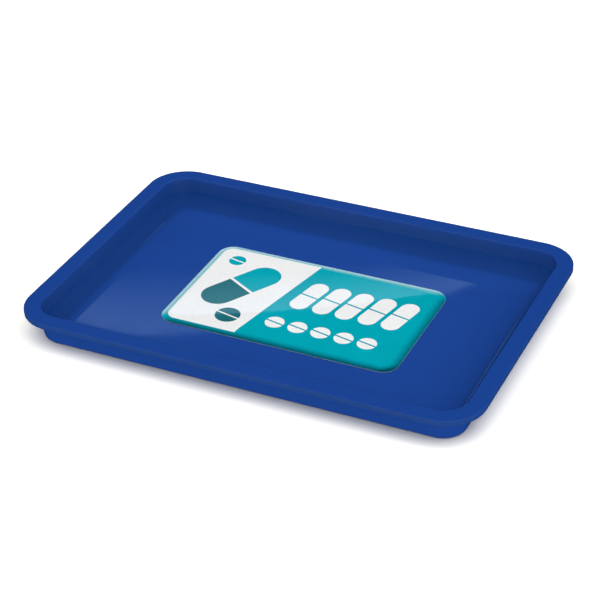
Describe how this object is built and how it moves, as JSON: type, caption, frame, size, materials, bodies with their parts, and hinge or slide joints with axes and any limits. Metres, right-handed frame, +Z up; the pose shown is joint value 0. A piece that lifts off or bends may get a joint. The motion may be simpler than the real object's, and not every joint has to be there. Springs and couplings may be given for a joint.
{
  "type": "shallow tray",
  "caption": "Shallow rectangular moulded plastic tray with rounded corners, a flat flange round the rim and a domed printed label on its floor, for holding small loose items such as tablets.",
  "frame": {"origin": "middle of the flat underside, on the surface that the tray stands on", "axes": "+X along the tray's length, +Y across it, +Z up out of the pan"},
  "size_m": [0.24, 0.168, 0.0165],
  "materials": {
    "tray_plastic": "smooth moulded plastic, semi-gloss",
    "adhesive": "soft acrylic adhesive sheet",
    "white_film": "smooth white printed film",
    "teal_ink": "flat printed ink",
    "dark_teal_ink": "flat printed ink",
    "clear_resin": "clear glossy poured resin"
  },
  "bodies": {
    "root": {"tray_moulding": "tray_plastic", "label_adhesive": "adhesive", "label_film": "white_film", "label_ink_teal": "teal_ink", "label_ink_dark": "dark_teal_ink", "label_dome": "clear_resin"}
  },
  "joints": []
}
